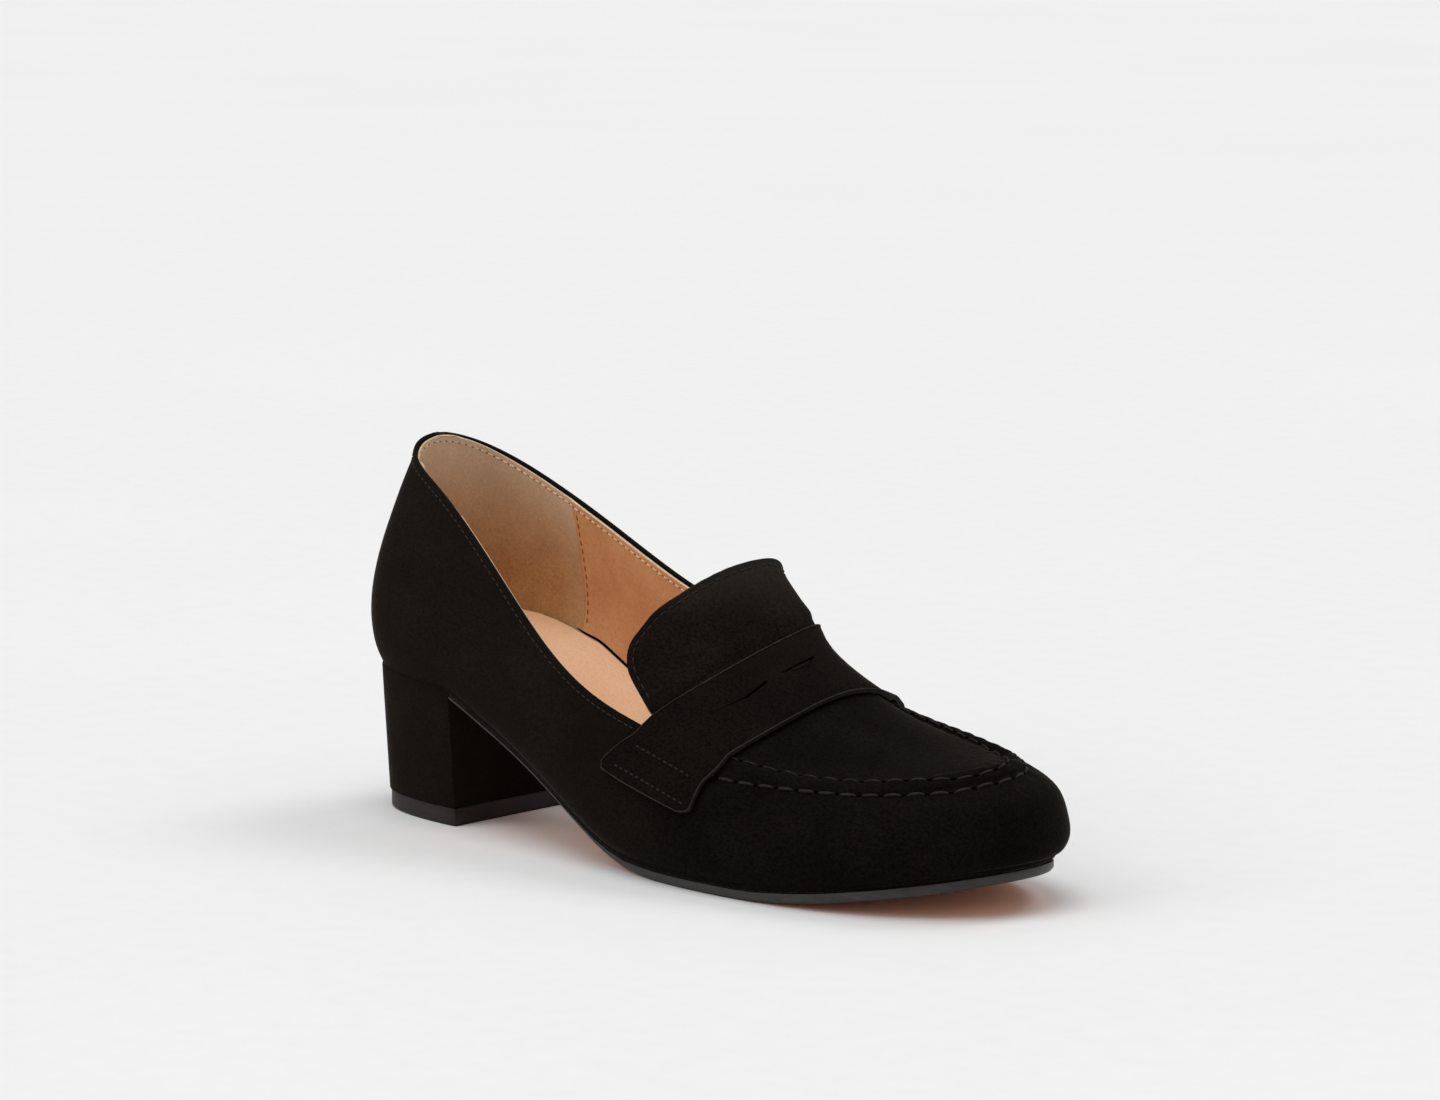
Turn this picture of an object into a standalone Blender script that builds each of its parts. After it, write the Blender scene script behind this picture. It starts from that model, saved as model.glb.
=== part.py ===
"""Block heel penny loafer, right foot: a suede shell on a thin sole with a covered block heel.

The tables and sizes below are millimetres: x runs from heel to toe, y to the medial (left) side and
z up from the floor. The meshes are metres, with the origin under the middle of the shoe, on the floor.
"""

import bmesh
import bpy
import numpy as np

MM = 0.001

# Driving sizes
WALL_THICK = 2.0
FIT_GAP = 0.3
TONGUE_THICK = 1.8
STRAP_THICK = 1.3
LIFT_THICK = 5.2
SEAT_X = 47.0
BREAST_FOOT_X = 48.2
HEEL_FOOT_LENGTH = 42.3
HEEL_FOOT_WIDTH_SHARE = 0.95
SOLE_GROW = 0.5
SOLE_EDGE_ROUND = 0.8
LIFT_EDGE_ROUND = 0.6
LIFT_INSET = 0.5
INSOLE_INSET = 3.3
INSOLE_EDGE_ROUND = 0.8
RIDGE_WIDTH = 4.5
RIDGE_HEIGHT = 1.2
RIDGE_POWER = 2.7
RIDGE_FADE_START = 4.0
RIDGE_FADE = 0.5

# The feather line, where the upper meets the sole, and the sole's thickness below it
FEATHER = (  # x, z
    (0, 42.0), (20, 40.7), (44, 39.2), (58, 33.6), (72, 27.2), (86, 20.0), (100, 12.4), (114, 6.2),
    (126, 3.6), (140, 3.0), (156, 3.0), (170, 3.0), (190, 4.6), (208, 7.2), (224, 10.0), (242, 13.6),
)
SOLE_THICK = (  # x, thickness
    (40, 1.5), (100, 1.7), (122, 2.4), (138, 3.0), (242, 3.0),
)

# The padded insole: a cup at the heel that flattens out to a thin sock at the ball
INSOLE = (  # x, thickness in the middle, rise of its edges above the middle
    (0, 10.0, 5.2), (26, 9.7, 5.0), (36, 8.9, 4.4), (44, 7.7, 3.5), (62, 7.0, 3.3), (86, 5.8, 2.4),
    (110, 4.2, 1.2), (135, 3.0, 0.2), (160, 2.6, 0.0), (242, 2.6, 0.0),
)

# How the wall swells between its feather line and its top, by the place of its foot: a skew above 0 swells it
# lower down, and a fullness above 2 makes the swell squarer
SWELL = (  # foot_x, skew, fullness
    (0, 0.55, 2.0), (190, 0.5, 2.0), (220, 0.1, 2.5), (233, -0.1, 3.0), (242, -0.1, 3.0),
)

# Sections of the wall, a row each, from the back seam by the lateral side to the toe and round to it again, and
# how far the moccasin ridge climbs from the wall to the apron
WALL = (  # name, foot_x, foot_y, belly, top_x, top_y, top_z, ridge_rise
    ("heel_back", 4, 0, 6.8, 12.5, 2, 108, 3.4),
    ("heel_back_lateral", 9, -17.4, 6.2, 16.8, -12.2, 104, 3.4),
    ("heel_lateral", 26, -25.5, 5.3, 35, -19.5, 95.8, 3.4),
    ("breast_lateral", 50, -27.5, 5, 60, -24.5, 79.4, 3.4),
    ("waist_lateral", 80, -28.5, 5.5, 88, -28.5, 57.4, 3.4),
    ("throat_lateral", 112, -32.5, 6, 115, -32, 45.2, 3.4),
    ("strap_lateral", 142, -37.5, 5.5, 142, -33, 38.5, 3.4),
    ("ball_lateral", 168, -38, 5, 167, -31, 32, 3.4),
    ("fore_lateral", 196, -34, 5, 192, -27, 30.5, 3.4),
    ("toe_lateral", 220, -23.5, 6, 211, -20, 32, 3.4),
    ("corner_lateral", 233, -11, 6.5, 224, -11, 34, 3.4),
    ("toe_tip", 238, 4, 7.6, 230, 3, 36, 2.8),
    ("corner_medial", 233, 18, 8, 224.2, 16.4, 36.8, 1.4),
    ("toe_medial", 219, 29, 6.5, 208, 23, 38.7, 0.5),
    ("fore_medial", 196, 35, 5.5, 189, 28, 39.9, 0.5),
    ("ball_medial", 170, 36.5, 5, 166, 31, 42.6, 1.4),
    ("strap_medial", 143, 32, 6, 141, 32, 48.5, 3.4),
    ("throat_medial", 112, 25.5, 7, 115, 30.5, 59.1, 3.4),
    ("waist_medial", 80, 23, 7, 88, 28.5, 69.4, 3.4),
    ("breast_medial", 50, 25.5, 5.5, 60, 27.5, 82.3, 3.4),
    ("heel_medial", 26, 25, 5.3, 36, 25.5, 93.6, 3.4),
    ("heel_back_medial", 9, 17, 6.3, 17.6, 19.5, 102.5, 3.4),
)
TIP_ROW = 11
THROAT = 5.0

# The instep line, along the top of the apron and the start of the tongue, by station back from the toe tip, and
# how full the arch across it is: 2 is a parabola
CROWN = (  # station, x, y, z, fullness
    (0, 224.5, 3, 38.8, 2.0), (1, 219, 3, 38.9, 2.0), (2, 207, 3, 39.2, 2.0), (3, 190, 4, 41.4, 2.0),
    (4, 169, 7, 47.4, 2.1), (5, 148.5, 9, 56.4, 2.4), (5.5, 142.8, 10.2, 65.8, 2.6),
)

# Cross-lines of the tongue behind the strap: lateral edge, crown and medial edge
TONGUE = (  # name, lateral_xyz, crown_xyz, medial_xyz, side_trim
    ("bend", (129.5, -30.3, 44.4), (141.8, 10, 67.4), (129, 30, 57), 0.0),
    ("rise", (123.5, -30, 51.2), (136.2, 9.8, 72.2), (126, 30.5, 61.5), 0.0),
    ("shoulder", (119, -29.5, 57.5), (132.4, 9.2, 77.4), (123, 30, 65), 0.01),
    ("brow", (117, -29, 60.6), (130.8, 9, 80.5), (121.8, 30, 67), 0.04),
    ("top", (116, -29, 62.4), (130.3, 9, 81.9), (121.3, 30, 68), 0.11),
)
TONGUE_START = 5.06
TONGUE_UNDER_STRAP = 5.42
TONGUE_SIDE_TRIM = 0.045
TONGUE_FULLNESS = 2.5

# The saddle strap: for places across it, the station of its rear and front edge; across is 0 at the lateral
# end of the wall, 1 at the lateral seam, 2 at the crown, 3 at the medial seam and 4 at the medial end
STRAP = (  # across_rear, rear_station, across_front, front_station
    (0.26, 5.72, 0.11, 4.60),
    (0.34, 5.74, 0.20, 4.49),
    (0.62, 5.60, 0.58, 4.46),
    (1.00, 5.38, 1.00, 4.31),
    (1.50, 5.32, 1.50, 4.17),
    (2.00, 5.33, 2.00, 4.10),
    (2.50, 5.34, 2.50, 4.00),
    (3.00, 5.34, 3.00, 3.97),
    (3.38, 5.52, 3.42, 4.20),
    (3.66, 5.70, 3.78, 4.42),
    (3.74, 5.68, 3.88, 4.54),
)
STRAP_WALL_LOW = 0.5
SEAM_BAND = 0.15
STRAP_GAP = 0.6

# The penny slit is two cuts through the strap, outlined by strap row and share of the strap's width
SLITS = (  # name, corners
    ("slit_lateral", ((3.60, 0.41), (3.87, 0.436), (4.22, 0.382), (4.25, 0.418), (3.90, 0.466))),
    ("slit_medial", ((4.50, 0.385), (5.30, 0.345), (4.93, 0.505))),
)

# Mesh steps
WALL_STEPS = (0.0, 0.1, 0.22, 0.36, 0.52, 0.68, 0.84, 1.0)
RIDGE_STEPS = (0.2, 0.5, 0.8, 1.0)
PLATE_STEPS = (0.0, 0.12, 0.3, 0.5, 0.7, 0.88, 1.0)
HEEL_STEPS = (0.0, 0.2, 0.4, 0.6, 0.8, 1.0)
STEPS_PER_ROW = 4
APRON_ACROSS = 12
TONGUE_ACROSS = 14
TONGUE_ROOT_ROWS = 4
STRAP_ACROSS = 44
STRAP_WIDE = 8
SLIT_SIDE_STEPS = 4
SLIT_OVERCUT = 1.0
SOLE_STATIONS = 36
INSOLE_STATIONS = 45
HEEL_ROUND = 34
BREAST_ACROSS = 6
HALVINGS = 40
ROW_STEP = 0.05
WALL_STEP = 0.01
STRAP_STEP = 0.02
MERGE_DISTANCE = 0.001

# Colours, linear, and roughness
SUEDE = (0.012, 0.010, 0.008), 0.95
SOCK_LEATHER = (0.74, 0.39, 0.19), 0.6
SOLE_RUBBER = (0.035, 0.033, 0.034), 0.6
LIFT_RUBBER = (0.022, 0.014, 0.011), 0.7
CUTTER_GREY = (0.5, 0.5, 0.5), 0.5
SMOOTH_ANGLE = 40


def closed_spline(rows):
    """Smooth closed curve through the rows, as a function of the row number."""
    points = np.array(rows, float)
    count = len(points)
    span = np.linalg.norm(np.roll(points[:, :2], -1, 0) - points[:, :2], axis=1)
    system = np.zeros((count, count))
    bends = np.zeros_like(points)
    for i in range(count):
        before, after = i - 1, (i + 1) % count
        system[i, before] += span[before]
        system[i, i] += 2 * (span[before] + span[i])
        system[i, after] += span[i]
        bends[i] = 6 * ((points[after] - points[i]) / span[i] - (points[i] - points[before]) / span[before])
    bends = np.linalg.solve(system, bends)

    def at(row):
        i = int(np.floor(row)) % count
        after = (i + 1) % count
        t = row - np.floor(row)
        u = 1 - t
        pull = (u ** 3 - u) * bends[i] + (t ** 3 - t) * bends[after]
        return u * points[i] + t * points[after] + span[i] ** 2 / 6 * pull

    return at


def table_curve(table, column=1):
    """Smooth curve through one column of a table, as a function of its first column, without overshoot."""
    rows = np.array(table, float)
    places, values = rows[:, 0], rows[:, column]
    slope = np.diff(values) / np.diff(places)
    tangent = np.zeros(len(places))
    tangent[0], tangent[-1] = slope[0], slope[-1]
    for i in range(1, len(places) - 1):
        if slope[i - 1] * slope[i] > 0:
            tangent[i] = 2 * slope[i - 1] * slope[i] / (slope[i - 1] + slope[i])

    def at(place):
        i = int(np.clip(np.searchsorted(places, place) - 1, 0, len(places) - 2))
        width = places[i + 1] - places[i]
        t = (place - places[i]) / width
        ends = (1 + 2 * t) * (1 - t) ** 2 * values[i] + t * t * (3 - 2 * t) * values[i + 1]
        return ends + width * (t * (1 - t) ** 2 * tangent[i] + t * t * (t - 1) * tangent[i + 1])

    return at


wall_row = closed_spline([row[1:] for row in WALL])
feather = table_curve(FEATHER)
sole_thick = table_curve(SOLE_THICK)
insole_thick = table_curve(INSOLE, 1)
insole_cup = table_curve(INSOLE, 2)
swell_skew = table_curve(SWELL, 1)
swell_fullness = table_curve(SWELL, 2)
crown_axes = [table_curve(CROWN, column) for column in (1, 2, 3)]
arch_fullness = table_curve(CROWN, 4)
strap_columns = [table_curve([(i, *row) for i, row in enumerate(STRAP)], column) for column in (1, 2, 3, 4)]


def crown(station):
    return np.array([axis(station) for axis in crown_axes])


def row_at(station, side):
    """Row number of a station back from the toe tip, on the lateral (-1) or the medial (+1) side."""
    return TIP_ROW + side * station


def outward(row):
    """Level direction out of the shoe at the foot of the wall."""
    run = (wall_row(row + ROW_STEP) - wall_row(row - ROW_STEP))[:2]
    return np.array([run[1], -run[0], 0.0]) / np.hypot(*run)


def foot(row):
    x, y = wall_row(row)[:2]
    return np.array([x, y, feather(x)])


def wall(row, share):
    """Point on the outside of the wall: share 0 at the feather line, 1 at the collar or the apron seam."""
    values = wall_row(row)
    side = 1 - 2 * share
    swell = (1 - abs(side) ** swell_fullness(values[0])) * (1 + swell_skew(values[0]) * side)
    return foot(row) * (1 - share) + values[3:6] * share + outward(row) * values[2] * swell


def ridge(row, share):
    """Point across the moccasin ridge, share 0 at the wall and 1 at the apron; it fades under the strap."""
    station = abs(row - TIP_ROW)
    fade = np.clip((station - RIDGE_FADE_START) / RIDGE_FADE, 0, 1)
    lift = 1 - abs(2 * share - 1) ** RIDGE_POWER
    height = RIDGE_HEIGHT * lift * (1 - fade * fade * (3 - 2 * fade))
    rise = wall_row(row)[6]
    across = -outward(row) * RIDGE_WIDTH + np.array([0, 0, rise])
    normal = outward(row) * rise + np.array([0, 0, RIDGE_WIDTH])
    return wall(row, 1.0) + across * share + normal / np.linalg.norm(normal) * height


def arch(start, top, end, fullness, t):
    """Arch from start over top to end, with t from 0 to 1."""
    rise = 1 - abs(2 * t - 1) ** fullness
    return start * (1 - t) + end * t + (top - (start + end) / 2) * rise


def apron(station, t):
    """Point on the apron and its tongue root: t runs from the lateral to the medial edge."""
    edges = [ridge(row_at(station, side), 1.0) for side in (-1, 1)]
    return arch(edges[0], crown(station), edges[1], arch_fullness(station), t)


def new_object(name, bm, finish):
    """Make the part's object from a bmesh in millimetres, with its own material."""
    colour, roughness = finish
    bmesh.ops.scale(bm, vec=(MM, MM, MM), verts=bm.verts)
    bmesh.ops.recalc_face_normals(bm, faces=bm.faces)
    mesh = bpy.data.meshes.new(name)
    bm.to_mesh(mesh)
    bm.free()
    mesh.shade_smooth()
    mesh.set_sharp_from_angle(angle=np.radians(SMOOTH_ANGLE))
    material = bpy.data.materials.new(name)
    material.use_nodes = True
    shader = material.node_tree.nodes["Principled BSDF"]
    shader.inputs["Base Color"].default_value = (*colour, 1.0)
    shader.inputs["Roughness"].default_value = roughness
    mesh.materials.append(material)
    part = bpy.data.objects.new(name, mesh)
    shoe.objects.link(part)
    return part


def add_grid(bm, rows, closed=False):
    """Quads between rows of points; returns the vertices, row by row."""
    grid = [[bm.verts.new(point) for point in row] for row in rows]
    for low, high in zip(grid, grid[1:]):
        count = len(low)
        for i in range(count if closed else count - 1):
            after = (i + 1) % count
            bm.faces.new((low[i], low[after], high[after], high[i]))
    return grid


def add_loft(bm, rings):
    """Closed solid through rings of points, with flat ends where a ring hasn't shrunk to a point."""
    grid = add_grid(bm, rings, closed=True)
    bm.faces.new(grid[0])
    bm.faces.new(reversed(grid[-1]))
    bmesh.ops.remove_doubles(bm, verts=bm.verts, dist=MERGE_DISTANCE)
    bmesh.ops.dissolve_degenerate(bm, edges=bm.edges, dist=MERGE_DISTANCE)


def solidify(part, thickness, offset):
    """Give a sheet its thickness: offset -1 grows inwards and 1 outwards."""
    modifier = part.modifiers.new("thickness", "SOLIDIFY")
    modifier.thickness = thickness * MM
    modifier.offset = offset
    modifier.use_even_offset = True
    modifier.use_quality_normals = True


def make_upper():
    """Wall, moccasin ridge and apron as one sheet, open at the collar, at the throat and underneath."""
    bm = bmesh.new()
    steps = [i / STEPS_PER_ROW for i in range(len(WALL) * STEPS_PER_ROW)]
    grid = add_grid(bm, [[wall(row, share) for row in steps] for share in WALL_STEPS], closed=True)
    front = [i for i, row in enumerate(steps) if abs(row - TIP_ROW) <= THROAT]
    lines = [[grid[-1][i] for i in front]]
    for share in RIDGE_STEPS:
        lines.append([bm.verts.new(ridge(steps[i], share)) for i in front])
    for low, high in zip(lines, lines[1:]):
        for i in range(len(front) - 1):
            bm.faces.new((low[i], low[i + 1], high[i + 1], high[i]))
    edge = lines[-1]
    half = len(front) // 2
    cross = []
    for i in range(half):
        station = TIP_ROW - steps[front[i]]
        inner = [bm.verts.new(apron(station, k / APRON_ACROSS)) for k in range(1, APRON_ACROSS)]
        cross.append([edge[i], *inner, edge[-1 - i]])
    for low, high in zip(cross, cross[1:]):
        for k in range(APRON_ACROSS):
            bm.faces.new((low[k], low[k + 1], high[k + 1], high[k]))
    for k in range(APRON_ACROSS):
        bm.faces.new((cross[-1][k], cross[-1][k + 1], edge[half]))
    part = new_object("upper", bm, SUEDE)
    solidify(part, WALL_THICK, -1)


def with_rows_between(rows):
    """Rows of points with one more between each pair, on a smooth curve through them."""
    points = np.array(rows)
    ends = np.concatenate([points[:1], points, points[-1:]])
    middles = (9 * (ends[1:-2] + ends[2:-1]) - ends[:-3] - ends[3:]) / 16
    return [*(row for pair in zip(points, middles) for row in pair), points[-1]]


def make_tongue():
    """Sheet that starts under the strap in line with the apron and bends up behind it."""
    across = np.linspace(0, 1, TONGUE_ACROSS + 1)
    rows = []
    for station in np.linspace(TONGUE_START, TONGUE_UNDER_STRAP, TONGUE_ROOT_ROWS):
        rows.append([apron(station, TONGUE_SIDE_TRIM + t * (1 - 2 * TONGUE_SIDE_TRIM)) for t in across])
    for _, lateral, top, medial, trim in TONGUE:
        ends = np.array(lateral, float), np.array(top, float), np.array(medial, float)
        rows.append([arch(*ends, TONGUE_FULLNESS, trim + t * (1 - 2 * trim)) for t in across])
    bm = bmesh.new()
    add_grid(bm, with_rows_between(rows))
    part = new_object("tongue", bm, SUEDE)
    solidify(part, TONGUE_THICK, -1)


def strap_base(station, across):
    """What the strap lies on: wall, seam, apron, seam and wall, with across from 0 to 4."""
    if across < 1 or across > 3:
        side = -1 if across < 1 else 1
        share = across if across < 1 else 4 - across
        return wall(row_at(station, side), STRAP_WALL_LOW + share * (1 - STRAP_WALL_LOW))
    if across < 1 + SEAM_BAND or across > 3 - SEAM_BAND:
        side = -1 if across < 2 else 1
        return ridge(row_at(station, side), (1 - abs(across - 2)) / SEAM_BAND)
    return apron(station, (across - 1 - SEAM_BAND) / (2 - 2 * SEAM_BAND))


def strap_place(place, width):
    """Point that the strap lies on, by its table row and its share of the width from rear to front."""
    across_rear, rear, across_front, front = (column(place) for column in strap_columns)
    return strap_base(rear + (front - rear) * width, across_rear + (across_front - across_rear) * width)


def strap_at(place, width, lift):
    """Point lifted off the strap's bed, square to it."""
    along = strap_place(place + STRAP_STEP, width) - strap_place(place - STRAP_STEP, width)
    over = strap_place(place, width + STRAP_STEP) - strap_place(place, width - STRAP_STEP)
    normal = np.cross(over, along)
    return strap_place(place, width) + normal / np.linalg.norm(normal) * lift


def make_slit_cutter(name, corners):
    """Prism through the strap, square to it, on an outline of straight sides that follow its bend."""
    outline = []
    for start, end in zip(corners, corners[1:] + corners[:1]):
        for share in np.linspace(0, 1, SLIT_SIDE_STEPS, endpoint=False):
            outline.append(np.array(start) * (1 - share) + np.array(end) * share)
    lifts = -SLIT_OVERCUT, STRAP_GAP + STRAP_THICK + SLIT_OVERCUT
    bm = bmesh.new()
    add_loft(bm, [[strap_at(*spot, lift) for spot in outline] for lift in lifts])
    cutter = new_object(name, bm, CUTTER_GREY)
    shoe.objects.unlink(cutter)
    cutters.objects.link(cutter)
    cutter.hide_render = True
    cutter.display_type = "WIRE"
    return cutter


def make_strap():
    """Band over the instep, a constant gap off what it lies on, with a tab at each end and a penny slit."""
    bm = bmesh.new()
    places = np.linspace(0, len(STRAP) - 1, STRAP_ACROSS + 1)
    widths = np.linspace(0, 1, STRAP_WIDE + 1)
    add_grid(bm, [[strap_at(place, width, STRAP_GAP) for width in widths] for place in places])
    part = new_object("saddle_strap", bm, SUEDE)
    solidify(part, STRAP_THICK, 1)
    for name, corners in SLITS:
        cut = part.modifiers.new(name, "BOOLEAN")
        cut.operation = "DIFFERENCE"
        cut.object = make_slit_cutter(name, corners)


def level_line(start, end, height):
    """Points across a plate from start to end, each at the height for its x and its share of the way."""
    line = [(start * (1 - share) + end * share, share) for share in PLATE_STEPS]
    return [np.array([x, y, height(x, share)]) for (x, y, _), share in line]


def make_plate(name, stations, section, finish):
    """Plate lofted through sections that run over its top and back along its underside."""
    bm = bmesh.new()
    add_loft(bm, [section(station) for station in stations])
    new_object(name, bm, finish)


def station_at_x(x):
    """Station where the foot outline's lateral side passes x, between the strap and the back, by halving."""
    low, high = THROAT, float(TIP_ROW - 1)
    for _ in range(HALVINGS):
        middle = (low + high) / 2
        if foot(row_at(middle, -1))[0] > x:
            low = middle
        else:
            high = middle
    return low


def sole_section(station):
    """Section of the outsole, with its lower edges rounded."""
    rows = [row_at(station, side) for side in (-1, 1)]
    rim = [foot(row) + outward(row) * SOLE_GROW for row in rows]
    tread = [point - outward(row) * SOLE_EDGE_ROUND for point, row in zip(rim, rows)]
    over = level_line(*rim, lambda x, _: feather(x) - FIT_GAP)
    under = level_line(*tread, lambda x, _: feather(x) - sole_thick(x))
    lateral, medial = [(x, y, feather(x) - sole_thick(x) + SOLE_EDGE_ROUND) for x, y, _ in rim]
    return [*over, medial, *reversed(under), lateral]


def insole_top(x, share):
    """Height of the insole's top at a share of the way across it."""
    return feather(x) + insole_thick(x) + insole_cup(x) * (2 * share - 1) ** 2


def inside_wall(row, share):
    """Point at the wall's height but inside it, as deep as the insole's edge lies, square to the wall."""
    climb = wall(row, share + WALL_STEP) - wall(row, share - WALL_STEP)
    lean = np.hypot(climb @ outward(row), climb[2]) / climb[2]
    return wall(row, share) - outward(row) * INSOLE_INSET * lean


def insole_section(station):
    """Section of the insole: its sides follow the inside of the wall, and its top dips between them."""
    rows = [row_at(station, side) for side in (-1, 1)]
    board, brim, lip = [], [], []
    for row in rows:
        x, _, seat_z = foot(row)
        share = (insole_thick(x) + insole_cup(x)) / (wall_row(row)[5] - seat_z)
        board.append(inside_wall(row, 0.0))
        brim.append(inside_wall(row, share))
        lip.append(brim[-1] - outward(row) * INSOLE_EDGE_ROUND)
    over = level_line(*lip, insole_top)
    under = level_line(*board, lambda x, _: feather(x))
    lateral, medial = [point - np.array([0, 0, INSOLE_EDGE_ROUND]) for point in brim]
    return [*over, medial, *reversed(under), lateral]


def make_outsole():
    """Sole from the toe to the heel breast, thin at the waist, flat on the floor at the ball."""
    stations = np.linspace(0, station_at_x(SEAT_X + FIT_GAP), SOLE_STATIONS)
    make_plate("outsole", stations, sole_section, SOLE_RUBBER)


def make_insole():
    """Padded sock on its board, inside the wall from heel to toe."""
    stations = np.linspace(0, TIP_ROW, INSOLE_STATIONS)
    make_plate("insole", stations, insole_section, SOCK_LEATHER)


def heel_ring(height):
    """Outline of the heel at a share of its height, from the breast round the back and across the breast."""
    seat_length = SEAT_X - foot(0)[0]
    first_row = row_at(station_at_x(SEAT_X), -1)
    ring = []
    for row in np.linspace(first_row, -first_row, HEEL_ROUND):
        x, y, seat_z = foot(row) + outward(row) * SOLE_GROW
        low = np.array([BREAST_FOOT_X - (SEAT_X - x) / seat_length * HEEL_FOOT_LENGTH,
                        y * HEEL_FOOT_WIDTH_SHARE, LIFT_THICK + FIT_GAP])
        high = np.array([x, y, seat_z - FIT_GAP])
        ring.append(low * (1 - height) + high * height)
    start, end = ring[-1], ring[0]
    return ring + [start + (end - start) * k / BREAST_ACROSS for k in range(1, BREAST_ACROSS)]


def make_heel():
    """Covered block under the heel seat, and the top lift that it stands on."""
    bm = bmesh.new()
    add_loft(bm, [heel_ring(height) for height in HEEL_STEPS])
    new_object("heel_block", bm, SUEDE)
    ring = np.array(heel_ring(0.0))
    inward = ring.mean(0) - ring
    inward /= np.linalg.norm(inward, axis=1)[:, None]
    outline = ring + inward * LIFT_INSET
    inset = outline + inward * LIFT_EDGE_ROUND
    levels = ((inset, 0.0), (outline, LIFT_EDGE_ROUND), (outline, LIFT_THICK))
    bm = bmesh.new()
    add_loft(bm, [[(x, y, z) for x, y, _ in line] for line, z in levels])
    new_object("top_lift", bm, LIFT_RUBBER)


def stand_on_origin():
    """Move the meshes so that the origin is on the floor, under the middle of the shoe's box."""
    graph = bpy.context.evaluated_depsgraph_get()
    corners = np.array([corner for part in shoe.objects for corner in part.evaluated_get(graph).bound_box])
    middle = (corners.min(0) + corners.max(0)) / 2
    for part in [*shoe.objects, *cutters.objects]:
        for vertex in part.data.vertices:
            vertex.co.x -= middle[0]
            vertex.co.y -= middle[1]


for old in list(bpy.data.objects):
    bpy.data.objects.remove(old, do_unlink=True)
shoe = bpy.data.collections.new("block_heel_shoe")
bpy.context.scene.collection.children.link(shoe)
cutters = bpy.data.collections.new("cutters")
bpy.context.scene.collection.children.link(cutters)

make_upper()
make_tongue()
make_strap()
make_insole()
make_outsole()
make_heel()
stand_on_origin()
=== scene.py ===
"""Looks of a black suede block heel loafer, right foot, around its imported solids.

Places and sizes are millimetres in the last's own frame: x from the back of the heel to the toe, y to the
medial side and z up from the floor. at() turns a place to the frame's metres, and MM turns a size.
"""

import bisect
import math

import bmesh
import bpy
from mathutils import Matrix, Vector
from mathutils.bvhtree import BVHTree
from mathutils.kdtree import KDTree


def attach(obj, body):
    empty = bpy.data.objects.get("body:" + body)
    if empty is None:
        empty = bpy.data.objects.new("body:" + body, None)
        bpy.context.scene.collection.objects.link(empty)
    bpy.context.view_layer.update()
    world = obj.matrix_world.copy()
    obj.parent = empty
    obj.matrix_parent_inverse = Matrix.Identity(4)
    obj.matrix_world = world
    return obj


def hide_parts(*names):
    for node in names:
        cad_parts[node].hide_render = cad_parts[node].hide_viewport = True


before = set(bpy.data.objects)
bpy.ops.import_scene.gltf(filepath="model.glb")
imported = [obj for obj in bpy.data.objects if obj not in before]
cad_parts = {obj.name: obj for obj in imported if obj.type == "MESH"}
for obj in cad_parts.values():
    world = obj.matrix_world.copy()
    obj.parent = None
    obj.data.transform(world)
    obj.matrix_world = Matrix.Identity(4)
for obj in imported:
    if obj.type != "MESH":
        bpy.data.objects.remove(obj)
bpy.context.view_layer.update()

MM = 0.001
TINY = 1e-6
LAST_ZERO = Vector((-121.056, 0.968, 0.0))

# The photograph's view: the shoe lies left of the frame's middle and below it
VIEW_TARGET = (120.0, 0.0, 45.0)
VIEW_AZIMUTH = 44.0
VIEW_ELEVATION = 10.5
VIEW_DISTANCE = 1390.0
VIEW_TURN_RIGHT = 0.234
VIEW_TURN_UP = 1.63
VIEW_LENS = 124.75
VIEW_SENSOR = 36.0

# Studio: a wide floor, an even white surround, a broad key from above, a back light from the medial side that
# throws the shadow forward, and a fill from the lateral side
FLOOR_REACH = 30000.0
SURROUND = 0.42
LAMPS = (  # name, strength, spread, tilt from straight down, turn
    ("key", 1.2, 40.0, 12.0, 10.0),
    ("back", 0.55, 25.0, 36.0, 165.0),
    ("fill", 0.55, 40.0, 55.0, -25.0),
)

# Noise of the grained materials, where its two shades begin and end, and the tufts of the nap
NOISE_DETAIL = 3.0
NOISE_ROUGHNESS = 0.6
PATCH_ENDS = (0.34, 0.66)
GRAIN_ENDS = (0.32, 0.62)
TUFT_SIZE = 2.6
TUFT_DETAIL = 2.0
TUFT_DEPTH = 0.14

# Numbers of the sockets of a Mix node that mixes colours
MIX_SHARE, MIX_FIRST, MIX_SECOND = 0, 6, 7
MIX_RESULT = 2

# Copies of the solids: how triangles are merged and joined, and which angles count as edges
MERGE = 0.01
JOIN_ANGLE = math.radians(60)
SHARP = math.radians(50)
RIM_ANGLE = math.radians(60)
SMOOTH_ANGLE = math.radians(40)

# Slopes: the upward part of a face's normal, or of an edge's run
FLOORWARD = -0.75
UNDERSIDE = -0.8
TOP_RIM = 0.5
UPRIGHT = 0.5

# Smoothing of a cage to a fine sheet, which keeps the hollow of the moccasin seam
HOLLOW_ANGLE = math.radians(14)
SEAM_CREASE = 0.7
FINENESS = 2
FITTINGS = 2

# Lines of sight that pick out a skin of a solid: from a place, to a place
UPPER_OUTSIDE = ((60, -100, 55), (60, 0, 55))
UPPER_INSIDE = ((60, 0, 65), (60, -50, 65))
TONGUE_FRONT = ((220, 0, 100), (124, 0, 66))
TONGUE_BACK = ((60, 0, 60), (124, 0, 66))
STRAP_TOP = ((156, -8, 120), (156, -8, 40))
STRAP_UNDER = ((156, -8, 30), (156, -8, 90))
SOCK_TOP = ((90, 0, 100), (90, 0, 20))

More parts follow.
